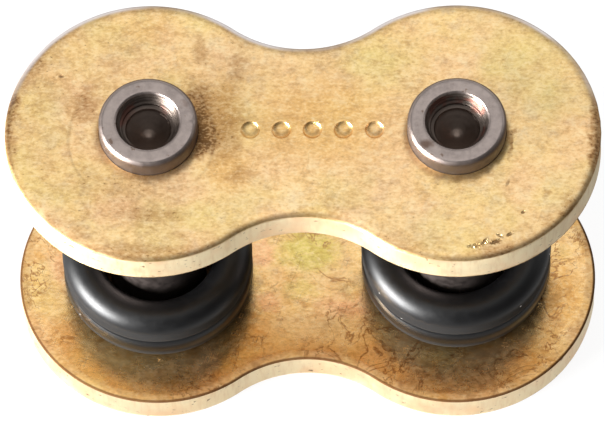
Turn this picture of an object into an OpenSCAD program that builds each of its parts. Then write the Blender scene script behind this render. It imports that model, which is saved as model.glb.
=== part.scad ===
// Rivet-type connecting link of a 520-size O-ring motorcycle drive chain.
// The link lies flat: X runs along the chain, Z along the pins, and the pins' lower ends are at Z = 0.
// Two pins are pressed into the pin plate. The connecting plate is slipped over their free ends,
// and two O-rings lie around each pin, one on the other, on the pin plate.

/* [Plates] */
// Distance between the two pin centres, the chain's pitch
pitch = 15.875; // [13:0.005:20]
// Width of a plate across its round ends
plate_width = 14.9; // [12:0.1:18]
// Width of a plate at its waist, halfway between the pins
waist_width = 9.8; // [8:0.1:13]
// Thickness of each plate
plate_thickness = 2; // [1.2:0.1:3.5]
// Free height between the two plates
plate_gap = 14.9; // [8:0.1:25]
// How far the rolled outer edge reaches in from a plate's side
roll_width = 0.35; // [0.1:0.05:0.6]
// How far the rolled outer edge drops below a plate's outer face
roll_drop = 0.15; // [0.05:0.05:0.5]

/* [Pins] */
// Diameter of a pin
pin_diameter = 5.1; // [4:0.1:6.5]
// How far a pin stands out above the connecting plate
pin_free_end = 1.15; // [0.4:0.05:4]
// How far a pin stands out below the pin plate
pin_fixed_end = 0.3; // [0:0.05:1]
// Width and height of the bevel around both ends of a pin
pin_bevel = 0.18; // [0.05:0.01:0.28]
// Diameter of the blind hole that lets a pin's free end be flared
rivet_hole_diameter = 3.2; // [1.5:0.1:4]
// Depth of the blind hole down to the start of its conical bottom
rivet_hole_depth = 1; // [0.6:0.1:6]
// Width and height of the bevel around the blind hole's mouth
rivet_hole_bevel = 0.12; // [0.02:0.01:0.3]

/* [O-rings] */
// Thickness of an O-ring's round section
ring_section = 2; // [1:0.1:3]
// How much wider an O-ring's opening is than its pin
ring_play = 1; // [0.4:0.05:1.5]
// Gap left where the right-hand rings lean against their pin
ring_lean_gap = 0.1; // [0.02:0.01:0.15]

/* [Running fits] */
// Gap all round a pin in the connecting plate's holes
plate_fit = 0.03; // [0.01:0.01:0.1]
// Gap under each O-ring, which keeps it free to move
ring_rest_gap = 0.03; // [0.01:0.01:0.1]

/* [Hidden] */
$fn = 96;

LEFT = -1;
RIGHT = 1;
SIDES = [LEFT, RIGHT];

// Heights, from the pins' lower ends up
pin_plate_z = pin_fixed_end;
ring_seat_z = pin_plate_z + plate_thickness;
connecting_plate_z = ring_seat_z + plate_gap;
pin_length = connecting_plate_z + plate_thickness + pin_free_end;

// Plate outline: each round end is tangent to the two arcs that form the waist
end_radius = plate_width / 2;
waist_half = waist_width / 2;
waist_radius = (pow(pitch / 2, 2) + pow(waist_half, 2) - pow(end_radius, 2))
  / (2 * (end_radius - waist_half));
waist_centre_y = waist_half + waist_radius;

pin_radius = pin_diameter / 2;
rivet_hole_radius = rivet_hole_diameter / 2;
drill_tip_height = rivet_hole_radius * tan(31);
ring_centre_radius = (pin_diameter + ring_play + ring_section) / 2;
ring_lean = ring_play / 2 - ring_lean_gap;
ring_step = ring_section + ring_rest_gap;
cut_margin = 1;

module at_pin(side) {
  translate([side * pitch / 2, 0, 0]) children();
}

// One round end of a plate, with its rolled edge at the top
module plate_end() {
  rotate_extrude() polygon([
    [0, 0],
    [end_radius, 0],
    [end_radius, plate_thickness - roll_drop],
    [end_radius - roll_width, plate_thickness],
    [0, plate_thickness]
  ]);
}

// What is cut away to form one waist arc, flared to leave the same rolled edge at the top
module waist_cutter() {
  rotate_extrude() polygon([
    [0, -cut_margin],
    [waist_radius, -cut_margin],
    [waist_radius, plate_thickness - roll_drop],
    [waist_radius + roll_width, plate_thickness],
    [waist_radius + roll_width, plate_thickness + cut_margin],
    [0, plate_thickness + cut_margin]
  ]);
}

// The web between the round ends joins the centres of all four outline arcs, so it meets them tangentially
module plate_web() {
  difference() {
    linear_extrude(plate_thickness) polygon([
      [pitch / 2, 0],
      [0, waist_centre_y],
      [-pitch / 2, 0],
      [0, -waist_centre_y]
    ]);
    for (side = SIDES) translate([0, side * waist_centre_y, 0]) waist_cutter();
  }
}

// A whole plate lying on Z = 0, outer face up, with a hole for each pin
module plate(hole_radius) {
  difference() {
    union() {
      plate_web();
      for (side = SIDES) at_pin(side) plate_end();
    }
    for (side = SIDES) at_pin(side)
      translate([0, 0, -cut_margin]) cylinder(h = plate_thickness + 2 * cut_margin, r = hole_radius);
  }
}

// A round pin with bevelled ends and a drilled free end
module pin(side) {
  at_pin(side) rotate_extrude() polygon([
    [0, 0],
    [pin_radius - pin_bevel, 0],
    [pin_radius, pin_bevel],
    [pin_radius, pin_length - pin_bevel],
    [pin_radius - pin_bevel, pin_length],
    [rivet_hole_radius + rivet_hole_bevel, pin_length],
    [rivet_hole_radius, pin_length - rivet_hole_bevel],
    [rivet_hole_radius, pin_length - rivet_hole_depth],
    [0, pin_length - rivet_hole_depth - drill_tip_height]
  ]);
}

// An O-ring around a pin, pushed back by lean, with its level counted up from the pin plate
module o_ring(side, lean, level) {
  seat = ring_seat_z + ring_rest_gap + level * ring_step;
  at_pin(side) translate([0, lean, seat + ring_section / 2])
    rotate_extrude() translate([ring_centre_radius, 0]) circle(d = ring_section);
}

module pin_plate() {
  color("#C99B55")
    translate([0, 0, ring_seat_z]) mirror([0, 0, 1]) plate(pin_radius);
}

module connecting_plate() {
  color("#DDBE85")
    translate([0, 0, connecting_plate_z]) plate(pin_radius + plate_fit);
}

module pin_left() {
  color("#8C8480") pin(LEFT);
}

module pin_right() {
  color("#8C8480") pin(RIGHT);
}

module o_ring_left_lower() {
  color("#1B1B1D") o_ring(LEFT, 0, 0);
}

module o_ring_left_upper() {
  color("#1B1B1D") o_ring(LEFT, 0, 1);
}

module o_ring_right_lower() {
  color("#1B1B1D") o_ring(RIGHT, ring_lean, 0);
}

module o_ring_right_upper() {
  color("#1B1B1D") o_ring(RIGHT, ring_lean, 1);
}

pin_plate();
connecting_plate();
pin_left();
pin_right();
o_ring_left_lower();
o_ring_left_upper();
o_ring_right_lower();
o_ring_right_upper();
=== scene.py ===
"""The looks of a rivet-type connecting link of a 520-size O-ring motorcycle chain.

One detailed piece takes the place of each CAD node: two stamped plates, two turned pins and four O-rings.
Shapes are worked out in millimetres, and their places and main sizes are read from the CAD parts in
model.glb.
"""
import math
from collections import namedtuple

import bmesh
import bpy
from mathutils import Matrix, Vector, noise
from mathutils.geometry import delaunay_2d_cdt


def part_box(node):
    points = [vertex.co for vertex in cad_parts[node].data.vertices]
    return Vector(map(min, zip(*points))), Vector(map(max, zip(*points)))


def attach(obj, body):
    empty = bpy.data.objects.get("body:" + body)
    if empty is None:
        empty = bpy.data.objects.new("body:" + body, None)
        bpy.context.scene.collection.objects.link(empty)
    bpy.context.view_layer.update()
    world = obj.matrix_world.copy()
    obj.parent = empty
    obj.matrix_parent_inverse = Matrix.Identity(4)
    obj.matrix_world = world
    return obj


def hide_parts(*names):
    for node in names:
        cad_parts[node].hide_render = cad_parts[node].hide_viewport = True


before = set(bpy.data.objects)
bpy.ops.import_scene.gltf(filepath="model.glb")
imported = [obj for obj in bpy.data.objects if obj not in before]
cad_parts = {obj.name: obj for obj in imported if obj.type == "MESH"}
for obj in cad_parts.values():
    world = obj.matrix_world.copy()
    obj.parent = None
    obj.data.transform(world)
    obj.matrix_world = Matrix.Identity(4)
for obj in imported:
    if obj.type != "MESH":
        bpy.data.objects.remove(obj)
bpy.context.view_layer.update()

MM = 0.001
FULL_TURN = 2 * math.pi
SMOOTH_ANGLE = math.radians(32)


# ---- sizes in millimetres

def cad_box(node):
    """The lowest and highest corners of a CAD node."""
    low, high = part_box(node)
    return low / MM, high / MM


PLATE_LOW, PLATE_HIGH = cad_box("connecting_plate")
PIN_PLATE_LOW, PIN_PLATE_HIGH = cad_box("pin_plate")
PIN_LOW, PIN_HIGH = cad_box("pin_left")
RING_LOW, RING_HIGH = cad_box("o_ring_left_lower")

LEFT = -1
RIGHT = 1
PLATE_TOP = PLATE_HIGH.z
PIN_PLATE_TOP = PIN_PLATE_HIGH.z
PIN_TOP = PIN_HIGH.z
PIN_RADIUS = (PIN_HIGH.x - PIN_LOW.x) / 2
PIN_X = -(PIN_HIGH.x + PIN_LOW.x) / 2
END_RADIUS = (PLATE_HIGH.y - PLATE_LOW.y) / 2
PLATE_THICKNESS = PLATE_HIGH.z - PLATE_LOW.z
RING_SECTION_RADIUS = (RING_HIGH.z - RING_LOW.z) / 2
RING_CENTRE_RADIUS = (RING_HIGH.x - RING_LOW.x) / 2 - RING_SECTION_RADIUS

# Sizes of the CAD pieces that their boxes don't give
WAIST_HALF = 4.9
PLATE_FIT = 0.03
PIN_BEVEL = 0.18
RIVET_HOLE_RADIUS = 1.6
RIVET_HOLE_DEPTH = 1.0
RIVET_HOLE_BEVEL = 0.12
DRILL_TIP_ANGLE = math.radians(31)

# The plate outline's four arcs are tangent to each other
WAIST_RADIUS = (PIN_X ** 2 + WAIST_HALF ** 2 - END_RADIUS ** 2) / (2 * (END_RADIUS - WAIST_HALF))
WAIST_Y = WAIST_HALF + WAIST_RADIUS

# A plate's outer edge is rolled, where the CAD has a bevel, and its inner edge is slightly rounded
ROLL_WIDTH = 0.58
ROLL_DROP = 0.3
BREAK_EDGE = 0.09

# The play around the pins is less than the CAD's, so that no black line shows there
UPPER_HOLE_RADIUS = PIN_RADIUS + PLATE_FIT * 0.4
UPPER_HOLE_BEVEL = 0.03
LOWER_HOLE_BEVEL = 0.05


# ---- colours

def colour(*levels):
    """Red, green and blue as seen on a screen, 0 to 255, in the linear form that shaders take."""
    linear = [(c / 255 / 12.92) if c <= 10 else ((c / 255 + 0.055) / 1.055) ** 2.4 for c in levels]
    return (*linear, 1.0)


GOLD = {
    "yellow": colour(252, 217, 148),
    "tan": colour(244, 207, 152),
    "warm": colour(252, 211, 146),
    "grey": colour(226, 198, 156),
    "pink": colour(250, 190, 152),
    "green": colour(224, 216, 118),
    "pale": colour(255, 232, 184),
    "amber": colour(232, 178, 96),
    "brown": colour(172, 126, 78),
    "speck": colour(104, 68, 38),
    # Dark grease, with painted shade, around the pins
    "grease_and_shade": colour(34, 26, 18),
    # The next two are a painted line of shade along a plate's edge and a painted highlight on the back rim
    "edge_shade": colour(96, 62, 34),
    "painted_rim_highlight": colour(250, 242, 240),
    "warming": colour(255, 246, 235),
    "side_light": colour(240, 223, 186),
    "side_dark": colour(222, 194, 153),
    "side_warm": colour(236, 199, 156),
}
STEEL = {
    "light": colour(169, 156, 150),
    "dark": colour(151, 139, 134),
    "sheen": colour(176, 162, 152),
    "rust": colour(104, 80, 62),
    "stain": colour(98, 74, 60),
    # The pin's side is painted darker, as shade
    "shaded_flank": colour(106, 96, 92),
    # The rivet hole's colours are darker than the end face: partly rust, partly painted shade in the recess
    "hole": colour(100, 90, 83),
    "hole_rust": colour(110, 74, 64),
    "hole_floor": colour(118, 104, 95),
}
RUBBER = {"dark": colour(2, 2, 3), "light": colour(5, 5, 6), "dust": colour(205, 200, 195)}


# ---- node helpers

class Graph:
    """The nodes of a material or the world."""

    def __init__(self, tree):
        self.tree = tree
        tree.nodes.clear()

    def node(self, kind, inputs=None, settings=None):
        made = self.tree.nodes.new(kind)
        for key, value in (settings or {}).items():
            setattr(made, key, value)
        for key, value in (inputs or {}).items():
            if isinstance(value, bpy.types.NodeSocket):
                self.tree.links.new(value, made.inputs[key])
            elif value is not None:
                made.inputs[key].default_value = value
        return made

    def place(self):
        """Where a point of the piece is, in millimetres."""
        position = self.node("ShaderNodeTexCoord").outputs["Object"]
        return self.vector("SCALE", position, scale=1 / MM)

    def vector(self, operation, first, second=None, scale=None):
        inputs = {0: first, 1: second, "Scale": scale}
        made = self.node("ShaderNodeVectorMath", inputs, {"operation": operation})
        return made.outputs["Value" if operation in ("LENGTH", "DOT_PRODUCT") else "Vector"]

    def stretch(self, at, x=1.0, y=1.0, z=1.0):
        """The place with its axes scaled: a factor above 1 makes a texture finer along its axis."""
        return self.vector("MULTIPLY", at, (x, y, z))

    def coordinate(self, at, axis):
        return self.node("ShaderNodeSeparateXYZ", {0: at}).outputs[axis]

    def calc(self, operation, first, second=None):
        return self.node("ShaderNodeMath", {0: first, 1: second}, {"operation": operation}).outputs[0]

    def total(self, *values):
        result = values[0]
        for value in values[1:]:
            result = self.calc("ADD", result, value)
        return result

    def times(self, *values):
        result = values[0]
        for value in values[1:]:
            result = self.calc("MULTIPLY", result, value)
        return result

    def attribute(self, name):
        return self.node("ShaderNodeAttribute", settings={"attribute_name": name}).outputs["Fac"]

    def noise(self, at, scale, detail=3.0, roughness=0.55, distortion=0.0):
        inputs = {"Vector": at, "Scale": scale, "Detail": detail}
        inputs |= {"Roughness": roughness, "Distortion": distortion}
        return self.node("ShaderNodeTexNoise", inputs).outputs["Fac"]

    def cells(self, at, scale):
        return self.node("ShaderNodeTexVoronoi", {"Vector": at, "Scale": scale}).outputs["Distance"]

    def step(self, value, low, high, out_low=0.0, out_high=1.0):
        """A smooth step from out_low, where value is low, to out_high, where it is high."""
        inputs = {"Value": value, 1: low, 2: high, 3: out_low, 4: out_high}
        return self.node("ShaderNodeMapRange", inputs, {"interpolation_type": "SMOOTHSTEP"}).outputs[0]

    def mix(self, share, first, second, mode="MIX"):
        """The first colour where share is 0, the second where it is 1."""
        settings = {"data_type": "RGBA", "blend_type": mode}
        return self.node("ShaderNodeMix", {0: share, 6: first, 7: second}, settings).outputs[2]

    def mix_value(self, share, first, second):
        """The first value where share is 0, the second where it is 1."""
        return self.total(self.times(self.calc("SUBTRACT", 1.0, share), first), self.times(share, second))

    def spot(self, at, centre, size, border=1.0, core=0.3):
        """1 in the core of an ellipsoid and 0 outside its border, which are both shares of its size."""
        offset = self.vector("SUBTRACT", at, centre)
        scaled = self.vector("DIVIDE", offset, size)
        return self.step(self.vector("LENGTH", scaled), border, core)

    def warp(self, at, scale, reach):
        """The place pushed about by a noise, which makes a spot's border ragged."""
        made = self.node("ShaderNodeTexNoise", {"Vector": at, "Scale": scale, "Detail": 3.0})
        push = self.vector("SUBTRACT", made.outputs["Color"], (0.5, 0.5, 0.5))
        return self.vector("ADD", at, self.vector("SCALE", push, scale=reach))

    def turning(self, at):
        """The place (distance from the pin's axis, 0, height), for marks left by turning."""
        inputs = {0: self.attribute("from_axis"), 1: 0.0, 2: self.coordinate(at, "Z")}
        return self.node("ShaderNodeCombineXYZ", inputs).outputs[0]

    def hairlines(self, at, angle, spacing, width):
        """Fine broken scratches at an angle across the XY plane."""
        upright = {"rotation_type": "Z_AXIS"}
        turned = self.node("ShaderNodeVectorRotate", {"Vector": at, "Angle": angle}, upright).outputs[0]
        lines = self.noise(self.stretch(turned, 0.12, spacing), 1.0, 1.0, 0.4, 0.2)
        ridge = self.calc("ABSOLUTE", self.calc("SUBTRACT", lines, 0.5))
        broken = self.step(self.noise(at, 0.9, 2.0), 0.56, 0.66)
        return self.times(self.step(ridge, width, 0.0), broken)

    def bump(self, height, distance, strength):
        inputs = {"Height": height, "Distance": distance * MM, "Strength": strength}
        return self.node("ShaderNodeBump", inputs).outputs[0]

    def surface(self, inputs):
        shader = self.node("ShaderNodeBsdfPrincipled", inputs)
        self.node("ShaderNodeOutputMaterial", {"Surface": shader.outputs[0]})


def new_material(name):
    material = bpy.data.materials.new(name)
    material.use_nodes = True
    return material


# ---- gold zinc plating

# A ragged spot on a plate's outer face, its strength, and how far it reaches down into the plate
Patch = namedtuple("Patch", "x y half_width half_length share depth", defaults=(1.0,))

# The painted line of shade along a plate's edge: how dark, its start and end, how dull, and how strong the
# painted highlight on the rim at the back is
PaintedEdge = namedtuple("PaintedEdge", "dark start end dull bare")

# The looks of one plate. Warmth is a share of the warming tint, and relief is how deep the grain is
Finish = namedtuple("Finish", "top stains tints warmth roughness relief greasy_seats edge")

# How far the grease and painted shade reach around a pin
SHADED_SEAT_SIZE = 4.4
EDGE_ROUGHNESS = 0.42


class Plating(Graph):
    """Gold-tinted zinc plating: mottled, browner where it is worn and where shade is painted, and paler on
    the cut side.
    """

    def __init__(self, tree, finish):
        super().__init__(tree)
        self.finish = finish
        self.at = self.place()
        self.ragged = self.warp(self.at, 1.6, 1.4)
        self.inset = self.attribute("inset")
        self.wall = self.attribute("wall")
        self.rolled = self.step(self.inset, ROLL_WIDTH + 0.02, ROLL_WIDTH * 0.5)
        self.wear_and_shade = self.wear_and_shade_share()
        self.grain = self.noise(self.stretch(self.at, 0.65), 3.2, 4.0, 0.72)
        self.fine = self.noise(self.stretch(self.at, 0.6), 7.5, 2.0, 0.6)
        self.specks = self.step(self.total(self.fine, self.times(self.wear_and_shade, 0.1)), 0.7, 0.86, 0.0, 0.6)
        across = self.hairlines(self.at, 0.25, 5.5, 0.012)
        along = self.hairlines(self.at, 1.9, 4.5, 0.010)
        self.scratches = self.calc("MAXIMUM", across, along)
        self.streaks = self.noise(self.stretch(self.at, 4.0, 4.0, 0.7), 1.0, 3.0, 0.6)
        self.edge_shade = self.edge_shade_share()

    def on_face(self, patch):
        centre = (patch.x, patch.y, self.finish.top)
        size = (patch.half_width, patch.half_length, patch.depth)
        return self.times(self.spot(self.ragged, centre, size), patch.share)

    def wear_and_shade_share(self):
        """How worn the face is, and how much shade is painted on it: a little all over, more along the edge,
        and most on the stains and painted shadows.
        """
        all_over = self.step(self.noise(self.at, 0.42, 4.0, 0.6), 0.42, 0.78, 0.0, 0.7)
        broken = self.step(self.noise(self.at, 0.5, 3.0), 0.35, 0.65, 0.1, 0.8)
        near_edge = self.times(self.step(self.inset, 0.9, 0.1), broken)
        return self.total(all_over, near_edge, *[self.on_face(stain) for stain in self.finish.stains])

    def edge_shade_share(self):
        edge = self.finish.edge
        inner = self.step(self.inset, edge.end, edge.end * 0.4)
        outer = self.step(self.inset, edge.start * 0.3, edge.start)
        return self.times(inner, outer, edge.dark)

    def clouds(self):
        """The face's own hue: yellow to tan, in soft clouds of a few sizes."""
        at = self.at
        warmth = self.finish.warmth
        face = self.mix(self.step(self.noise(at, 0.28, 3.0, 0.5, 0.3), 0.3, 0.7), GOLD["yellow"], GOLD["tan"])
        face = self.mix(self.step(self.noise(at, 0.9, 4.0, 0.6, 0.4), 0.35, 0.8), face, GOLD["warm"])
        face = self.mix(self.step(self.noise(at, 1.7, 3.0, 0.6), 0.45, 0.8, 0.0, 0.8), face, GOLD["grey"])
        for hue, scale, low in (("pink", 0.3, 0.42), ("green", 0.38, 0.46)):
            share = self.step(self.noise(at, scale, 2.0, 0.4), low, low + 0.2, 0.0, 0.2)
            face = self.mix(share, face, GOLD[hue])
        patches = self.noise(at, 0.7, 5.0, 0.68, 0.5)
        face = self.mix(self.step(patches, 0.46, 0.3, 0.0, 0.5), face, GOLD["pale"])
        amber = self.times(self.step(patches, 0.5, 0.7, 0.0, 0.55), warmth + 0.3)
        face = self.mix(amber, face, GOLD["amber"])
        for hue, spots in self.finish.tints.items():
            for spot in spots:
                face = self.mix(self.on_face(spot), face, GOLD[hue])
        return face

    def veins(self):
        """Thin wandering cracks in the plating, in some places only and mostly on a warm plate."""
        ridge = self.calc("ABSOLUTE", self.total(self.noise(self.at, 0.6, 4.0, 0.6, 0.8), -0.5))
        present = self.step(self.noise(self.at, 0.25, 2.0), 0.45, 0.62)
        return self.times(self.step(ridge, 0.03, 0.0), present, self.finish.warmth + 0.25)

    def worn(self, face):
        """The face with its grain, specks, scratches and scars."""
        worn_grain = self.total(self.grain, self.times(self.wear_and_shade, 0.1))
        face = self.mix(self.step(self.grain, 0.55, 0.25, 0.0, 0.5), face, GOLD["pale"])
        face = self.mix(self.step(worn_grain, 0.45, 0.8, 0.0, 0.52), face, GOLD["brown"])
        face = self.mix(self.step(self.wear_and_shade, 0.0, 2.0, 0.0, 0.62), face, GOLD["brown"])
        face = self.mix(self.times(self.veins(), 0.8), face, GOLD["brown"])
        face = self.mix(self.finish.warmth, face, GOLD["warming"], "MULTIPLY")
        face = self.mix(self.step(self.fine, 0.52, 0.28, 0.0, 0.35), face, GOLD["pale"])
        face = self.mix(self.step(self.fine, 0.48, 0.78, 0.0, 0.28), face, GOLD["brown"])
        face = self.mix(self.specks, face, GOLD["speck"])
        face = self.mix(self.times(self.scratches, 0.3), face, GOLD["brown"])
        return self.mix(self.times(self.attribute("scar"), 0.85), face, GOLD["speck"])

    def greased_and_shaded(self, face):
        """The face with dark grease and painted shade around the pins, where the rings lie."""
        size = (SHADED_SEAT_SIZE, SHADED_SEAT_SIZE, 1.0)
        for side in (LEFT, RIGHT):
            seat = self.spot(self.at, (side * PIN_X, 0.0, self.finish.top), size, 1.0, 0.7)
            face = self.mix(self.times(seat, 0.95), face, GOLD["grease_and_shade"])
        return face

    def edged(self, face):
        """The face with a painted line of shade along its edge and, at the back, a painted pale highlight on
        its rim.
        """
        face = self.mix(self.edge_shade, face, GOLD["edge_shade"])
        behind = self.step(self.coordinate(self.at, "Y"), 1.0, 5.0)
        broken = self.step(self.noise(self.at, 0.2, 2.0), 0.42, 0.6, 0.2, 0.9)
        bare = self.times(self.step(self.inset, 0.4, 0.15), broken, behind, self.finish.edge.bare)
        return self.mix(bare, face, GOLD["painted_rim_highlight"])

    def side(self):
        """The cut side: pale, with upright streaks from the punch and a few dark nicks."""
        side = self.mix(self.step(self.streaks, 0.42, 0.75, 0.0, 0.6), GOLD["side_light"], GOLD["side_dark"])
        warm = self.step(self.noise(self.at, 0.35, 3.0), 0.4, 0.7, 0.0, 0.8)
        side = self.mix(warm, side, GOLD["side_warm"])
        nicks = self.step(self.noise(self.stretch(self.at, z=2.2), 2.4, 3.0), 0.665, 0.7)
        side = self.mix(self.times(nicks, 0.85), side, GOLD["speck"])
        return self.mix(self.finish.warmth * 0.3, side, GOLD["warming"], "MULTIPLY")

    def roughness(self):
        low = self.finish.roughness
        face = self.step(self.noise(self.at, 1.6, 4.0, 0.6), 0.3, 0.75, low, low + 0.1)
        face = self.total(face, self.times(self.wear_and_shade, 0.08))
        on_roll = self.times(self.rolled, self.calc("SUBTRACT", 1.0, self.wall))
        rough = self.mix_value(on_roll, face, EDGE_ROUGHNESS)
        dull_line = self.times(self.edge_shade, self.finish.edge.dull)
        return self.total(rough, self.times(self.wall, 0.2), dull_line)

    def relief(self):
        """The fine relief of the grain, which fades out over the rolled edge."""
        raised = self.total(self.times(self.grain, 0.8), self.times(self.fine, 0.2))
        height = self.total(raised, self.times(self.specks, -0.2), self.times(self.scratches, -0.4))
        height = self.total(height, self.times(self.streaks, self.wall, 0.8))
        height = self.mix_value(self.times(self.rolled, 0.8), height, 0.5)
        return self.bump(height, 0.02, self.finish.relief)


def plate_material(name, finish):
    material = new_material(name)
    g = Plating(material.node_tree, finish)
    face = g.worn(g.clouds())
    if finish.greasy_seats:
        face = g.greased_and_shaded(face)
    base = g.mix(g.wall, g.edged(face), g.side())
    g.surface({"Base Color": base, "Metallic": 0.95, "Roughness": g.roughness(), "Normal": g.relief()})
    return material


# ---- steel and rubber

HOLE_FLOOR = PIN_TOP - RIVET_HOLE_DEPTH
# Rust stains on the pins' upper ends: centre, size and share
PIN_STAINS = [
    ((PIN_X - 1.55, -1.35, PIN_TOP), (0.5, 0.4, 0.6), 0.8),
    ((-PIN_X + 1.9, 1.0, PIN_TOP), (0.3, 0.3, 0.6), 0.4),
]


def pin_material():
    """Turned and ground steel, with fine rings on the ends, a slightly rusted rivet hole, and shade painted
    on its side and in the hole.
    """
    material = new_material("pin_ground_steel")
    g = Graph(material.node_tree)
    at = g.place()
    hole = g.attribute("hole")
    shaded_flank = g.step(g.attribute("from_axis"), PIN_RADIUS - PIN_BEVEL, PIN_RADIUS - 0.05)
    base = g.mix(g.step(g.noise(at, 1.5, 4.0, 0.6), 0.35, 0.7), STEEL["light"], STEEL["dark"])
    base = g.mix(g.step(g.noise(at, 8.0, 4.0, 0.7), 0.45, 0.75, 0.0, 0.6), base, STEEL["sheen"])
    base = g.mix(g.step(g.noise(at, 2.2, 2.0), 0.66, 0.74, 0.0, 0.7), base, STEEL["rust"])
    ragged = g.warp(at, 3.0, 0.5)
    for centre, size, share in PIN_STAINS:
        base = g.mix(g.times(g.spot(ragged, centre, size), share), base, STEEL["stain"])
    # The pin's side is painted darker, as shade
    base = g.mix(g.times(shaded_flank, 0.9), base, STEEL["shaded_flank"])
    base = g.mix(hole, base, rivet_hole_colour(g, at))
    rings = g.noise(g.stretch(g.turning(at), 26.0, 26.0, 6.0), 1.0, 2.0)
    height = g.total(g.times(rings, 0.6), g.times(g.noise(at, 12.0, 3.0), 0.4))
    roughness = g.step(g.noise(at, 3.0, 3.0), 0.3, 0.7, 0.28, 0.4)
    roughness = g.total(roughness, g.times(hole, 0.06), g.times(shaded_flank, 0.16))
    normal = g.bump(height, 0.006, 0.6)
    g.surface({"Base Color": base, "Metallic": 1.0, "Roughness": roughness, "Normal": normal})
    return material


def rivet_hole_colour(g, at):
    """Steel with patches of rust, darker than the end face as painted shade in the recess, and a little
    lighter on the hole's floor.
    """
    rust = g.step(g.noise(g.stretch(at, z=1.6), 0.8, 3.0), 0.5, 0.62, 0.0, 0.8)
    wall = g.mix(rust, STEEL["hole"], STEEL["hole_rust"])
    on_floor = g.step(g.coordinate(at, "Z"), HOLE_FLOOR + 0.25, HOLE_FLOOR - 0.15)
    return g.mix(on_floor, wall, STEEL["hole_floor"])


def ring_material():
    """Greased black rubber with a few grains of dust, and dull on its underside."""
    material = new_material("ring_black_rubber")
    g = Graph(material.node_tree)
    at = g.place()
    base = g.mix(g.step(g.noise(at, 1.2, 4.0, 0.6), 0.35, 0.7), RUBBER["dark"], RUBBER["light"])
    dust = g.times(g.step(g.cells(at, 1.3), 0.07, 0.04), g.step(g.noise(at, 0.6, 1.0), 0.52, 0.58))
    base = g.mix(dust, base, RUBBER["dust"])
    roughness = g.step(g.noise(at, 2.4, 4.0, 0.65), 0.3, 0.75, 0.38, 0.45)
    roughness = g.total(roughness, g.step(g.attribute("underside"), 0.1, 0.5, 0.0, 0.5))
    height = g.total(g.noise(at, 9.0, 4.0, 0.7), g.times(dust, 2.0))
    normal = g.bump(height, 0.006, 0.5)
    g.surface({"Base Color": base, "Roughness": roughness, "Normal": normal, "Specular IOR Level": 0.46})
    return material


# ---- mesh helpers

def make_piece(name, points, faces, material, attributes):
    """A smooth-shaded piece from points in millimetres, sharp where its faces meet at a steep angle."""
    mesh = bpy.data.meshes.new(name)
    mesh.from_pydata([(x * MM, y * MM, z * MM) for x, y, z in points], [], faces)
    for key, values in attributes.items():
        mesh.attributes.new(key, "FLOAT", "POINT").data.foreach_set("value", values)
    mesh.polygons.foreach_set("use_smooth", [True] * len(mesh.polygons))
    mesh.set_sharp_from_angle(angle=SMOOTH_ANGLE)
    mesh.materials.append(material)
    mesh.update()
    return add_object(name, mesh)


def add_object(name, data):
    made = bpy.data.objects.new(name, data)
    bpy.context.scene.collection.objects.link(made)
    return made


def join_loops(faces, first, second, count, flip=False):
    """A band of quads between two closed loops of vertices."""
    for i in range(count):
        j = (i + 1) % count
        quad = (first + i, first + j, second + j, second + i)
        faces.append(quad[::-1] if flip else quad)


def arc(centre, radius, start, end, count):
    """Points on an arc, without its last point."""
    angles = [start + (end - start) * i / count for i in range(count)]
    return [(centre[0] + radius * math.cos(a), centre[1] + radius * math.sin(a)) for a in angles]


# ---- plate outline and marks

LOBE_STEPS = 150
WAIST_STEPS = 54
HOLE_STEPS = 96


def outline(inset):
    """The plate's outline, drawn in by inset, as a loop of points that match at every inset."""
    lobe = math.atan2(WAIST_Y, -PIN_X)
    waist = math.atan2(-WAIST_Y, PIN_X)
    end, hollow = END_RADIUS - inset, WAIST_RADIUS + inset
    return (
        arc((PIN_X, 0), end, -lobe, lobe, LOBE_STEPS)
        + arc((0, WAIST_Y), hollow, waist, -math.pi - waist, WAIST_STEPS)
        + arc((-PIN_X, 0), end, math.pi - lobe, math.pi + lobe, LOBE_STEPS)
        + arc((0, -WAIST_Y), hollow, math.pi + waist, -waist, WAIST_STEPS)
    )


def hole_loop(side, radius):
    return arc((side * PIN_X, 0), radius, 0, FULL_TURN, HOLE_STEPS)


def from_pin(x, y):
    """How far a point is from the nearer pin's axis."""
    return math.hypot(abs(x) - PIN_X, y)


def depth_inside(x, y):
    """How far a point is from the plate's outline, or below zero outside it."""
    x, y = abs(x), abs(y)
    beyond_tangent = (x - PIN_X) * WAIST_Y + y * PIN_X > 0
    if beyond_tangent:
        return END_RADIUS - math.hypot(x - PIN_X, y)
    return math.hypot(x, y - WAIST_Y) - WAIST_RADIUS


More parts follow.
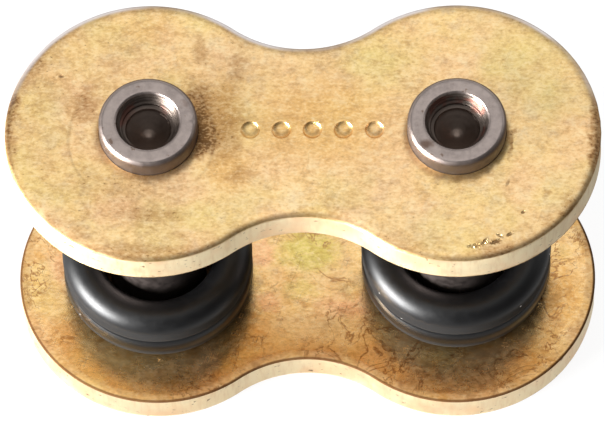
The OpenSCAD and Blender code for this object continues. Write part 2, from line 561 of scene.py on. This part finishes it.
class Dent:
    """An oval dent with a small raised lip, pressed into a face."""

    RINGS = (0.3, 0.55, 0.75, 0.9, 1.0, 1.12, 1.3, 1.55)
    FINE_HALF_WIDTH = 0.1

    def __init__(self, x, y, length, depth, lip=0.0, width=None, angle=0.0, dark=0.0):
        self.x, self.y, self.depth, self.lip, self.dark = x, y, depth, lip, dark
        self.half_length, self.half_width = length / 2, (width or length) / 2
        self.along = Vector((math.cos(math.radians(angle)), math.sin(math.radians(angle))))

    def share(self, x, y):
        """How far out a point is, as a share of the dent's own outline."""
        dx, dy = x - self.x, y - self.y
        along = (dx * self.along.x + dy * self.along.y) / self.half_length
        across = (dy * self.along.x - dx * self.along.y) / self.half_width
        return math.hypot(along, across)

    def height(self, x, y):
        share = self.share(x, y)
        hollow = -self.depth * (1 - share ** 2) ** 0.8 if share < 1 else 0.0
        return hollow + self.lip * math.exp(-((share - 1.15) / 0.16) ** 2)

    def scar(self, x, y):
        """How dark a point is: a dent has a dark line around it, and a fine one is dark inside."""
        if self.half_width < self.FINE_HALF_WIDTH:
            return self.dark * max(0.0, 1 - self.share(x, y) ** 2 / 1.4)
        return self.dark * math.exp(-((self.share(x, y) - 1.0) / 0.2) ** 2)

    def covers(self, x, y):
        return self.share(x, y) < self.RINGS[-1] + 0.15

    def points(self):
        count = 20 if self.half_width > 0.3 else 12
        found = [(self.x, self.y)]
        for share in self.RINGS:
            for i in range(count):
                u = share * self.half_length * math.cos(FULL_TURN * i / count)
                v = share * self.half_width * math.sin(FULL_TURN * i / count)
                x = self.x + u * self.along.x - v * self.along.y
                y = self.y + u * self.along.y + v * self.along.x
                found.append((x, y))
        return found


class Imprint:
    """The faint circle that a press tool left around a pin, worn away in front and behind."""

    RINGS = (-2.4, -1.1, -0.5, 0.0, 0.5, 1.1, 2.4)
    STEPS = 150
    REACH = 3.2

    def __init__(self, x, y, radius, width, depth, dark):
        self.x, self.y, self.radius, self.width, self.depth, self.dark = x, y, radius, width, depth, dark

    def off_circle(self, x, y):
        """How far a point is outside the circle, in widths of its groove."""
        return (math.hypot(x - self.x, y - self.y) - self.radius) / self.width

    def height(self, x, y):
        sideways = abs(x - self.x) / self.radius
        presence = min(1.0, max(0.0, 2.4 * (sideways - 0.6)))
        return -self.depth * presence * math.exp(-self.off_circle(x, y) ** 2)

    def scar(self, x, y):
        return -self.height(x, y) / self.depth * self.dark

    def covers(self, x, y):
        return abs(self.off_circle(x, y)) < self.REACH

    def points(self):
        found = []
        for ring in self.RINGS:
            found += arc((self.x, self.y), self.radius + self.width * ring, 0, FULL_TURN, self.STEPS)
        return found


# ---- plates

ROLL_STEPS = 9
SIDE_DEPTHS = (0.35, 0.6, 0.9, 1.2, 1.5, 1.75)
OUTER_SPACING = 0.3
INNER_SPACING = 0.6
ROW_PITCH = 0.866


def side_profile():
    """Inset, depth and wall share around a plate's side: rolled edge, cut side and broken inner edge."""
    turns = [math.pi / 2 * i / ROLL_STEPS for i in range(ROLL_STEPS + 1)]
    profile = []
    for turn in turns:
        steep = 1.0 if turn > 1.3 else 0.0
        profile.append((ROLL_WIDTH * (1 - math.sin(turn)), ROLL_DROP * (1 - math.cos(turn)), steep))
    profile += [(0.0, depth, 1.0) for depth in SIDE_DEPTHS]
    profile.append((0.0, PLATE_THICKNESS - BREAK_EDGE - 0.02, 1.0))
    for turn in turns[::3]:
        depth = PLATE_THICKNESS - BREAK_EDGE * (1 - math.sin(turn))
        profile.append((BREAK_EDGE * (1 - math.cos(turn)), depth, 0.0))
    return profile


def face_points(marks, spacing, hole_radius):
    """Points spread evenly over a plate's face, and closer together on each mark."""
    points = []
    rows = int(END_RADIUS / (spacing * ROW_PITCH)) + 1
    columns = int((PIN_X + END_RADIUS) / spacing) + 1
    for row in range(-rows, rows + 1):
        y = row * spacing * ROW_PITCH
        for column in range(-columns, columns + 1):
            x = (column + 0.5 * (row % 2)) * spacing
            off_rim = depth_inside(x, y) > ROLL_WIDTH + spacing * 0.5
            off_hole = from_pin(x, y) > hole_radius + spacing
            if off_rim and off_hole and not any(mark.covers(x, y) for mark in marks):
                points.append((x, y))
    for i, mark in enumerate(marks):
        points += [
            p for p in mark.points()
            if depth_inside(*p) > ROLL_WIDTH + 0.02 and not any(other.covers(*p) for other in marks[:i])
        ]
    return points


def triangulate(loops, inner):
    """Triangles over the area between the first loop and the others, with the inner points as corners."""
    corners, edges = [], []
    for loop in loops:
        first = len(corners)
        corners += loop
        edges += [(first + i, first + (i + 1) % len(loop)) for i in range(len(loop))]
    corners += inner
    found = delaunay_2d_cdt([Vector(p) for p in corners], edges, [], 1, 1e-6)
    return [tuple(v) for v in found[0]], [tuple(f) for f in found[2]]


class PlateMesh:
    """A stamped plate: marked outer face, rolled outer edge, cut side, flat inner face and two holes.

    Heights are depths below the outer face. Each corner also keeps how far in from the outline it lies
    (inset), whether it is on the cut side (wall) and how dark a mark makes it (scar).
    """

    def __init__(self, low, high, outer_up, hole_radius, hole_bevel, marks):
        self.low, self.high, self.outer_up, self.marks = low, high, outer_up, marks
        self.hole_radius, self.hole_bevel = hole_radius, hole_bevel
        self.points, self.faces = [], []
        self.inset, self.wall, self.scar = [], [], []
        self.add_side()
        self.add_holes()
        self.add_outer_face()
        self.add_inner_face()

    def put(self, x, y, depth, inset, wall=0.0, scar=0.0):
        self.points.append((x, y, self.high - depth if self.outer_up else self.low + depth))
        self.inset.append(inset)
        self.wall.append(wall)
        self.scar.append(scar)

    def add_side(self):
        firsts = []
        for inset, depth, wall in side_profile():
            firsts.append(len(self.points))
            for x, y in outline(inset):
                shrink = 1 - self.side_wear(x, y, depth) / END_RADIUS
                self.put(x * shrink, y * shrink, depth, inset, wall)
        for first, second in zip(firsts, firsts[1:]):
            join_loops(self.faces, first, second, len(outline(0)), flip=self.outer_up)

    @staticmethod
    def side_wear(x, y, depth):
        """How far the cut side is worn back, between its two edges."""
        if not 0.2 < depth < PLATE_THICKNESS - BREAK_EDGE - 0.01:
            return 0.0
        return 0.012 * (noise.noise(Vector((x * 2.2, y * 2.2, depth * 0.8))) + 0.6)

    def add_holes(self):
        radius, bevel = self.hole_radius, self.hole_bevel
        profile = [(radius + bevel, 0.0), (radius + bevel * 0.35, bevel * 0.35), (radius, bevel),
                   (radius, PLATE_THICKNESS)]
        for side in (LEFT, RIGHT):
            firsts = []
            for loop_radius, depth in profile:
                firsts.append(len(self.points))
                for x, y in hole_loop(side, loop_radius):
                    self.put(x, y, depth, 1.0)
            for first, second in zip(firsts, firsts[1:]):
                join_loops(self.faces, first, second, HOLE_STEPS, flip=not self.outer_up)

    def add_outer_face(self):
        hole = self.hole_radius + self.hole_bevel
        inner = face_points(self.marks, OUTER_SPACING, self.hole_radius)
        corners, triangles = self.cap(ROLL_WIDTH, hole, inner)
        self.add_triangles(triangles, corners, hole, flip=not self.outer_up)
        for x, y in corners:
            inset = depth_inside(x, y)
            scar = max((mark.scar(x, y) for mark in self.marks if mark.covers(x, y)), default=0.0)
            self.put(x, y, -self.face_height(x, y, inset), inset, scar=scar)

    def add_inner_face(self):
        inner = face_points([], INNER_SPACING, self.hole_radius)
        corners, triangles = self.cap(BREAK_EDGE, self.hole_radius, inner)
        self.add_triangles(triangles, corners, self.hole_radius, flip=self.outer_up)
        for x, y in corners:
            self.put(x, y, PLATE_THICKNESS, depth_inside(x, y))

    @staticmethod
    def cap(rim_inset, hole, inner):
        return triangulate([outline(rim_inset), hole_loop(LEFT, hole), hole_loop(RIGHT, hole)], inner)

    def add_triangles(self, triangles, corners, hole, flip):
        """The triangles that don't lie over a hole. Their corners are the next ones to be put."""
        first = len(self.points)
        for triangle in triangles:
            x = sum(corners[i][0] for i in triangle) / 3
            y = sum(corners[i][1] for i in triangle) / 3
            if from_pin(x, y) > hole:
                corner = tuple(first + i for i in triangle)
                self.faces.append(corner[::-1] if flip else corner)

    def face_height(self, x, y, inset):
        """Height of the outer face: dents, and a slight unevenness that fades out at its borders."""
        from_hole = from_pin(x, y) - self.hole_radius - self.hole_bevel
        fade = min(1.0, max(0.0, inset - ROLL_WIDTH) / 0.4, max(0.0, from_hole) / 0.4)
        uneven = 0.010 * noise.noise(Vector((x * 0.5, y * 0.5, self.low))) - 0.008
        uneven += 0.004 * noise.noise(Vector((x * 2.0, y * 2.0, self.low + 5)))
        marked = sum(mark.height(x, y) for mark in self.marks if mark.covers(x, y))
        return uneven * fade + marked * min(1.0, fade * 4)

    def piece(self, name, material):
        attributes = {"inset": self.inset, "wall": self.wall, "scar": self.scar}
        made = make_piece(name, self.points, self.faces, material, attributes)
        merge_seams(made)
        return made


def merge_seams(piece):
    """Joins the piece's caps and bands where their loops meet."""
    work = bmesh.new()
    work.from_mesh(piece.data)
    bmesh.ops.remove_doubles(work, verts=work.verts, dist=0.0005 * MM)
    work.to_mesh(piece.data)
    work.free()
    piece.data.set_sharp_from_angle(angle=SMOOTH_ANGLE)


# ---- pins

TURN_STEPS = 128
HOLE_WALL_STEPS = 24
HOLE_FLOOR_STEPS = 24
HOLE_GROOVES = 3.5
HOLE_NARROWING = 0.35
PIN_SOFTNESS = 0.04
LOWER_END_RING = ((1.2, 0.0), (1.5, 0.03), (1.75, 0.0))
UPPER_END_RADII = (2.2, 2.0, 1.85)
SHANK_HEIGHTS = (1.0, 3.0, 6.0, 9.0, 12.0, 15.0, 17.5, PIN_TOP - 0.8, PIN_TOP - 0.4)


def pin_outside():
    """Radius and height from the middle of a pin's lower end, up its shank and in to its rivet hole."""
    top, shank, bevel, soft = PIN_TOP, PIN_RADIUS, PIN_BEVEL, PIN_SOFTNESS
    profile = [(0.0, 0.0), *LOWER_END_RING, (shank - bevel, 0.0)]
    profile += [(shank - soft, bevel - soft), (shank, bevel + soft)]
    profile += [(shank, height) for height in SHANK_HEIGHTS]
    profile += [(shank, top - bevel - soft), (shank - soft * 0.7, top - bevel + soft * 0.6)]
    profile += [(shank - bevel + soft * 0.6, top - soft * 0.7), (shank - bevel - soft, top)]
    profile += [(radius, top) for radius in UPPER_END_RADII]
    mouth = RIVET_HOLE_RADIUS + RIVET_HOLE_BEVEL
    profile += [(mouth + 0.02, top), (mouth - 0.03, top - 0.02)]
    profile.append((RIVET_HOLE_RADIUS + 0.02, top - RIVET_HOLE_BEVEL + 0.02))
    return profile


def pin_inside():
    """Radius and height down a rivet hole's grooved wall and along its conical floor to the tip."""
    profile = []
    straight = RIVET_HOLE_DEPTH - RIVET_HOLE_BEVEL
    for i in range(HOLE_WALL_STEPS):
        share = (i + 0.5) / HOLE_WALL_STEPS
        groove = 0.04 * math.cos(FULL_TURN * share * HOLE_GROOVES)
        narrowing = 0.04 + HOLE_NARROWING * share ** 2.2
        height = PIN_TOP - RIVET_HOLE_BEVEL - 0.05 - (straight - 0.1) * share
        profile.append((RIVET_HOLE_RADIUS - narrowing + groove, height))
    for i in range(1, HOLE_FLOOR_STEPS + 1):
        share = i / HOLE_FLOOR_STEPS
        cone = RIVET_HOLE_RADIUS * math.tan(DRILL_TIP_ANGLE) * share
        soft_tip = max(0.0, share - 0.6) ** 2
        ripple = 0.002 * math.sin(share * 34)
        radius = (RIVET_HOLE_RADIUS - HOLE_NARROWING - 0.05) * (1 - share)
        profile.append((radius, HOLE_FLOOR - cone + soft_tip + ripple))
    return profile


def pin_point(x, y, height, centre_x, nicks):
    """A point of a pin, worn a little where it is on the upper bevel and chipped where a nick is."""
    rough = noise.noise(Vector((x * 1.7 + centre_x, y * 1.7, height * 1.7)))
    near_edge = math.hypot(x, y) > PIN_RADIUS - PIN_BEVEL - 0.1 and height > PIN_TOP - PIN_BEVEL - 0.1
    scale = 1 - (0.004 * (rough + 0.5) if near_edge else 0.0)
    chipped = sum(nick.height(x, y) for nick in nicks)
    return centre_x + x * scale, y * scale, height + chipped


def pin_piece(name, side, material, nicks):
    """A pin turned about its axis. A corner keeps its radius (from_axis) and whether it is in the hole."""
    centre_x = side * PIN_X
    outside = pin_outside()
    points, faces, from_axis, hole = [], [], [], []
    firsts = []
    for index, (radius, height) in enumerate(outside + pin_inside()):
        in_hole = index >= len(outside)
        chips = nicks if height > PIN_TOP - 0.5 and not in_hole else []
        steps = TURN_STEPS if radius > 1e-6 else 1
        firsts.append((len(points), steps))
        for x, y in arc((0.0, 0.0), radius, 0, FULL_TURN, TURN_STEPS)[:steps]:
            points.append(pin_point(x, y, height, centre_x, chips))
            from_axis.append(radius)
            hole.append(1.0 if in_hole else 0.0)
    for (first, first_steps), (second, second_steps) in zip(firsts, firsts[1:]):
        if first_steps == 1:
            faces += [(first, second + (i + 1) % TURN_STEPS, second + i) for i in range(TURN_STEPS)]
        elif second_steps == 1:
            faces += [(first + i, first + (i + 1) % TURN_STEPS, second) for i in range(TURN_STEPS)]
        else:
            join_loops(faces, first, second, TURN_STEPS)
    return make_piece(name, points, faces, material, {"from_axis": from_axis, "hole": hole})


# ---- O-rings

FIRST_RING_SEED = 4
RING_STEPS = 160
SECTION_STEPS = 48
PRESSED_POWER = 6.0
FREE_POWER = 1.8


def squareness(angle, pressed):
    """How far out a ring's section reaches, as a share of its radius.

    Its outer half is nearly square towards the other ring, which presses on it, and a little slimmer than
    round away from it. Its inner half is round. pressed is 1 if the other ring is above, and -1 if below.
    """
    if math.cos(angle) < 0:
        return 1.0
    power = PRESSED_POWER if math.sin(angle) * pressed > 0 else FREE_POWER
    return (abs(math.cos(angle)) ** power + abs(math.sin(angle)) ** power) ** (-1 / power)


def ring_radius(angle, pressed, wave):
    """The section's radius, with a fine moulding line inside and outside and a slight unevenness."""
    from_line = min(angle, FULL_TURN - angle, abs(angle - math.pi))
    line = math.exp(-(from_line / 0.07) ** 2)
    return RING_SECTION_RADIUS * (0.995 + 0.005 * line) * squareness(angle, pressed) + 0.004 * (wave - 0.5)


def ring_piece(name, node, material, seed, pressed):
    """An O-ring, swept around its axis. The underside attribute grows towards its lowest part."""
    low, high = cad_box(node)
    centre = (low + high) / 2
    points, faces, underside = [], [], []
    for i in range(RING_STEPS):
        turn = FULL_TURN * i / RING_STEPS
        for j in range(SECTION_STEPS):
            angle = FULL_TURN * j / SECTION_STEPS
            around = (math.cos(turn) * 1.6, math.sin(turn) * 1.6, seed + math.sin(angle) * 0.7)
            radius = ring_radius(angle, pressed, noise.noise(Vector(around)))
            out = RING_CENTRE_RADIUS + radius * math.cos(angle)
            x, y = centre.x + out * math.cos(turn), centre.y + out * math.sin(turn)
            points.append((x, y, centre.z + radius * math.sin(angle)))
            underside.append(max(0.0, 0.4 - math.sin(angle)))
    for i in range(RING_STEPS):
        here, beyond = i * SECTION_STEPS, (i + 1) % RING_STEPS * SECTION_STEPS
        for j in range(SECTION_STEPS):
            next_j = (j + 1) % SECTION_STEPS
            faces.append((here + j, beyond + j, beyond + next_j, here + next_j))
    return make_piece(name, points, faces, material, {"underside": underside})


# ---- finishes and marks

UPPER_FINISH = Finish(
    top=PLATE_TOP,
    stains=[
        # The four patches beside the pins' right sides are painted shadow, with a little grease
        Patch(-5.5, 1.5, 1.1, 1.7, 1.5), Patch(-5.2, 0.2, 0.8, 1.7, 1.3),
        Patch(-PIN_X + 2.7, -0.7, 0.4, 1.4, 1.6), Patch(PIN_X + 2.75, -0.7, 0.3, 1.4, 1.6),
        # The four patches at both ends darken the rolled edge there: a painted dark reflection
        Patch(-15.1, 0.8, 0.6, 3.2, 1.4), Patch(-13.9, 4.4, 0.9, 1.2, 1.0),
        Patch(15.1, -0.6, 0.5, 3.6, 1.4), Patch(13.7, -4.5, 0.8, 1.2, 1.0),
        Patch(-4.8, -0.5, 0.6, 0.9, 0.9), Patch(-4.2, 0.3, 1.9, 3.6, 1.0),
        Patch(-5.3, 4.6, 0.5, 1.3, 0.9), Patch(-3.4, 3.6, 0.6, 1.4, 0.8),
        # The patch at (-8.6, -6.8), along the front edge, is painted shade on the rolled edge
        Patch(-11.2, 1.4, 0.9, 1.5, 0.8), Patch(-8.6, -6.8, 3.4, 0.7, 0.9),
        # The two broad, deep patches at (-9.0, -4.2) and (-11.0, 1.0) darken the left lobe as a whole
        Patch(-7.6, -4.8, 2.8, 0.6, 0.8), Patch(-9.0, -4.2, 5.5, 3.4, 0.3, 3.0),
        Patch(-3.2, -2.5, 1.0, 0.9, 0.9), Patch(9.9, -6.8, 1.6, 0.7, 0.8),
        Patch(-12.5, 3.2, 0.25, 0.18, 0.9), Patch(12.6, -3.6, 0.3, 0.9, 0.9),
        Patch(-11.0, 1.0, 7.5, 9.0, 0.45, 3.0),
    ],
    tints={
        "warm": [Patch(-4.2, -0.5, 2.0, 4.5, 0.5)],
        "amber": [
            Patch(1.0, 0.4, 5.4, 3.8, 0.55), Patch(-3.7, -2.3, 1.7, 1.7, 0.55),
            Patch(-4.2, 0.8, 1.5, 3.0, 0.6), Patch(-8.0, 5.9, 2.6, 1.0, 0.3),
        ],
        "pink": [Patch(-9.6, -4.6, 2.2, 1.2, 0.35), Patch(-11.6, 1.6, 1.6, 2.2, 0.3)],
        "green": [
            Patch(-5.6, -4.9, 1.6, 1.2, 0.3), Patch(12.0, 3.5, 3.0, 3.5, 0.25),
            Patch(4.5, 4.5, 3.0, 2.0, 0.2),
        ],
    },
    warmth=0.0,
    roughness=0.3,
    relief=0.4,
    greasy_seats=False,
    edge=PaintedEdge(dark=0.4, start=0.06, end=0.36, dull=0.0, bare=1.0),
)
LOWER_FINISH = Finish(
    top=PIN_PLATE_TOP,
    stains=[
        # The two patches in front of the rings are partly oil and partly painted shade, the rings' dark
        # reflection in the plate
        Patch(-7.4, -6.0, 3.6, 1.2, 0.8), Patch(7.9, -6.0, 3.8, 1.2, 0.9),
        Patch(-12.2, -2.4, 0.8, 1.6, 0.5), Patch(13.2, -1.2, 0.9, 1.2, 0.8),
    ],
    tints={
        "green": [Patch(0.1, 1.6, 2.4, 1.9, 0.8), Patch(-0.3, -0.7, 1.3, 0.8, 0.4)],
        "pink": [
            Patch(-2.4, 1.3, 0.9, 1.3, 0.6), Patch(1.8, -1.9, 1.9, 1.0, 0.6),
            Patch(-2.1, -1.5, 1.2, 0.8, 0.5), Patch(-12.8, 0.5, 1.2, 2.0, 0.4),
        ],
        # Dark grease around the pins, and painted shade in the gap between each pin and its rings
        "grease_and_shade": [Patch(-PIN_X, 0.0, 5.6, 5.6, 1.0), Patch(PIN_X, 0.0, 5.6, 5.6, 1.0)],
        "amber": [
            Patch(13.4, -0.8, 1.6, 3.0, 0.6), Patch(-3.2, -3.6, 2.4, 1.0, 0.5),
            Patch(-12.9, -3.4, 1.2, 1.6, 0.5),
        ],
        # A painted reflection of the left ring's highlight in the plate
        "yellow": [Patch(-11.2, -4.9, 1.9, 1.0, 0.8)],
        # Painted light in front of the waist, where the upper plate shades the lower one
        "pale": [Patch(0.4, -3.2, 3.8, 1.8, 0.6)],
    },
    warmth=1.0,
    roughness=0.18,
    relief=0.45,
    greasy_seats=True,
    edge=PaintedEdge(dark=0.9, start=0.0001, end=0.17, dull=0.5, bare=0.0),
)

DOTS = 5
DOT_PITCH = 1.6
FIRST_DOT = -2.7
PUNCH_DOTS = [Dent(FIRST_DOT + DOT_PITCH * i, 0.05, length=1.0, depth=0.2, lip=0.02) for i in range(DOTS)]
EDGE_GOUGES = [
    Dent(8.8, -6.62, length=0.8, width=0.18, angle=8, depth=0.06, lip=0.02, dark=0.6),
    Dent(9.3, -6.4, length=0.5, width=0.16, angle=50, depth=0.06, lip=0.02, dark=0.7),
    Dent(9.9, -6.4, length=0.7, width=0.18, angle=22, depth=0.07, lip=0.02, dark=0.9),
    Dent(10.1, -6.05, length=0.4, width=0.15, angle=-20, depth=0.05, lip=0.01, dark=0.7),
    Dent(10.6, -5.98, length=0.4, width=0.18, angle=30, depth=0.05, lip=0.01, dark=0.9),
    Dent(11.3, -4.71, length=0.26, width=0.18, angle=40, depth=0.04, dark=0.9),
]
SMALL_DENTS = [
    Dent(-12.5, 3.2, length=0.3, width=0.19, depth=0.02, dark=0.8),
    Dent(10.54, -2.99, length=0.5, width=0.16, angle=65, depth=0.02, dark=0.6),
]
TOOL_CIRCLE = Imprint(-PIN_X - 0.35, -0.4, radius=3.75, width=0.07, depth=0.022, dark=0.2)
SCRATCHES = [
    Dent(-1.2, -0.05, length=2.0, width=0.12, angle=3, depth=0.01, dark=0.9),
    Dent(-2.0, 0.25, length=0.8, width=0.1, angle=-5, depth=0.01, dark=0.9),
    Dent(-1.94, -1.18, length=0.9, width=0.12, angle=-8, depth=0.01, dark=0.9),
    Dent(1.9, 0.1, length=0.7, width=0.1, angle=8, depth=0.01, dark=0.6),
    Dent(-10.6, -6.4, length=1.3, width=0.08, angle=-38, depth=0.01, dark=0.4),
]
LEFT_PIN_NICKS = [Dent(2.35, 0.1, length=0.4, depth=0.05)]
RIGHT_PIN_NICKS = [Dent(-1.9, -1.2, length=0.3, depth=0.02)]


# ---- building

def stand_in(piece, node, body):
    """Puts a piece in its CAD node's place, with that node's body, and hides the node."""
    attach(piece, body)
    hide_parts(node)


def build_plates():
    upper = PlateMesh(PLATE_LOW.z, PLATE_HIGH.z, True, UPPER_HOLE_RADIUS, UPPER_HOLE_BEVEL,
                      PUNCH_DOTS + EDGE_GOUGES + SMALL_DENTS + [TOOL_CIRCLE])
    piece = upper.piece("connecting_plate_stamped", plate_material("upper_gold_zinc", UPPER_FINISH))
    stand_in(piece, "connecting_plate", "loose_plate")
    lower = PlateMesh(PIN_PLATE_LOW.z, PIN_PLATE_HIGH.z, False, PIN_RADIUS, LOWER_HOLE_BEVEL, SCRATCHES)
    piece = lower.piece("pin_plate_stamped", plate_material("lower_gold_zinc", LOWER_FINISH))
    stand_in(piece, "pin_plate", "pinned_plate")


def build_pins():
    steel = pin_material()
    for name, side, nicks in (("pin_left", LEFT, LEFT_PIN_NICKS), ("pin_right", RIGHT, RIGHT_PIN_NICKS)):
        stand_in(pin_piece(name + "_turned", side, steel, nicks), name, "pinned_plate")


def build_rings():
    """Two rings around each pin. The lower one is pressed from above, and the upper one from below."""
    rubber = ring_material()
    seed = FIRST_RING_SEED
    for side in ("left", "right"):
        for level, pressed in (("lower", 1), ("upper", -1)):
            node = f"o_ring_{side}_{level}"
            ring = ring_piece(node + "_moulded", node, rubber, seed, pressed)
            stand_in(ring, node, f"{side}_{level}_ring")
            seed += 1


# ---- studio

# How bright the white surroundings are, part by part
DIM_LIGHT = 0.14
OVERHEAD_LIGHT = 0.97
BACK_LIGHT = 0.85
LEFT_LIGHT = 0.5

# The floor's glow to the camera, and in the pieces' mirror images near the link, farther off and far left
WHITE_FLOOR = 1.06
NEAR_FLOOR = 0.76
FAR_FLOOR = 0.25
LEFT_FLOOR = 1.0
FLOOR_GLOW_SHARE = 0.85
# Half the floor's size, and where its near part ends and its far part starts, in metres
FLOOR_HALF = 1.5
NEAR_REACH = 0.02
FAR_REACH = 0.034

# The camera's direction and roll in degrees, its distance and aim in millimetres, and its lens
CAMERA_AZIMUTH = 2.056
CAMERA_ELEVATION = 63.207
CAMERA_ROLL = -1.951
CAMERA_DISTANCE = 397.73
CAMERA_AIM_RIGHT = -0.147
CAMERA_AIM_UP = 3.515
CAMERA_LENS = 442.5
CAMERA_SENSOR = 36


def toward(azimuth, elevation):
    """The direction at an azimuth, counted from +X towards +Y, and an elevation, in degrees."""
    azimuth, elevation = math.radians(azimuth), math.radians(elevation)
    level = math.cos(elevation)
    return Vector((math.cos(azimuth) * level, math.sin(azimuth) * level, math.sin(elevation)))


def floor_material():
    """Paper that glows white for the camera and dimmer in mirror images, and still takes a shadow."""
    material = new_material("studio_white")
    g = Graph(material.node_tree)
    path = g.node("ShaderNodeLightPath")
    camera_ray = path.outputs["Is Camera Ray"]
    seen = g.calc("MAXIMUM", camera_ray, path.outputs["Is Glossy Ray"])
    place = g.node("ShaderNodeTexCoord").outputs["Object"]
    away = g.vector("LENGTH", place)
    leftward = g.calc("DIVIDE", g.coordinate(place, "X"), away)
    far = g.step(leftward, -0.35, -0.8, FAR_FLOOR, LEFT_FLOOR)
    mirrored = g.mix_value(g.step(away, NEAR_REACH, FAR_REACH), NEAR_FLOOR, far)
    glow = g.mix_value(camera_ray, mirrored, WHITE_FLOOR)
    white = g.node("ShaderNodeEmission", {"Color": (1, 1, 1, 1), "Strength": glow})
    matt = g.node("ShaderNodeBsdfDiffuse", {"Color": (0.86, 0.86, 0.86, 1)})
    share = g.times(seen, FLOOR_GLOW_SHARE)
    mixed = g.node("ShaderNodeMixShader", {0: share, 1: matt.outputs[0], 2: white.outputs[0]})
    g.node("ShaderNodeOutputMaterial", {"Surface": mixed.outputs[0]})
    return material


def studio_floor():
    corners = [(x * FLOOR_HALF, y * FLOOR_HALF, 0) for x, y in ((-1, -1), (1, -1), (1, 1), (-1, 1))]
    mesh = bpy.data.meshes.new("studio_floor")
    mesh.from_pydata(corners, [], [(0, 1, 2, 3)])
    mesh.materials.append(floor_material())
    add_object("studio_floor", mesh)


def studio_world():
    """Soft white surroundings: bright overhead, behind up to half height and low left, and dim elsewhere."""
    world = bpy.data.worlds.new("studio")
    bpy.context.scene.world = world
    world.use_nodes = True
    g = Graph(world.node_tree)
    direction = g.node("ShaderNodeTexCoord").outputs["Generated"]
    x, y, z = (g.coordinate(direction, axis) for axis in "XYZ")
    overhead = g.vector("DOT_PRODUCT", direction, (0.0, 0.09, 0.996))
    overhead = g.step(overhead, 0.7, 0.88, 0.0, OVERHEAD_LIGHT)
    behind = g.step(x, -0.8, -0.1, BACK_LIGHT * 0.3, BACK_LIGHT)
    behind = g.times(g.step(z, 0.66, 0.4), behind, g.step(y, -0.1, 0.5))
    left = g.times(g.step(z, 0.36, 0.1), g.step(x, -0.2, -0.9, 0.0, LEFT_LIGHT))
    strength = g.total(DIM_LIGHT, overhead, behind, left)
    camera_ray = g.node("ShaderNodeLightPath").outputs["Is Camera Ray"]
    strength = g.mix_value(camera_ray, strength, 1.0)
    light = g.node("ShaderNodeBackground", {"Color": (1, 1, 1, 1), "Strength": strength})
    g.node("ShaderNodeOutputWorld", {"Surface": light.outputs[0]})


def softbox(name, azimuth, elevation, distance, width, height, watts):
    """A soft rectangular lamp that faces the link's middle. Sizes are in metres."""
    lamp = bpy.data.lights.new(name, "AREA")
    lamp.shape = "RECTANGLE"
    lamp.size, lamp.size_y = width, height
    lamp.energy = watts
    made = add_object(name, lamp)
    away = toward(azimuth, elevation)
    made.location = Vector((0, 0, PLATE_TOP / 2 * MM)) + away * distance
    made.rotation_euler = away.to_track_quat("Z", "Y").to_euler()
    made.visible_camera = False


def studio_camera():
    """A long lens that looks down at the link from the front."""
    back = toward(CAMERA_AZIMUTH - 90, CAMERA_ELEVATION)
    right = toward(CAMERA_AZIMUTH, 0)
    up = back.cross(right)
    aim = Vector((0, 0, PIN_PLATE_TOP)) + right * CAMERA_AIM_RIGHT + up * CAMERA_AIM_UP
    roll = math.radians(CAMERA_ROLL)
    rolled_right = right * math.cos(roll) + up * math.sin(roll)
    rolled_up = up * math.cos(roll) - right * math.sin(roll)
    turn = Matrix((rolled_right, rolled_up, back)).transposed().to_4x4()
    lens = bpy.data.cameras.new("studio_camera")
    lens.lens = CAMERA_LENS
    lens.sensor_width = CAMERA_SENSOR
    camera = add_object("studio_camera", lens)
    camera.matrix_world = Matrix.Translation((aim + back * CAMERA_DISTANCE) * MM) @ turn
    bpy.context.scene.camera = camera


build_plates()
build_pins()
build_rings()
studio_floor()
studio_world()
softbox("key_left", azimuth=-154, elevation=12, distance=0.45, width=0.28, height=0.17, watts=11.0)
studio_camera()
bpy.context.scene.view_settings.view_transform = "Standard"
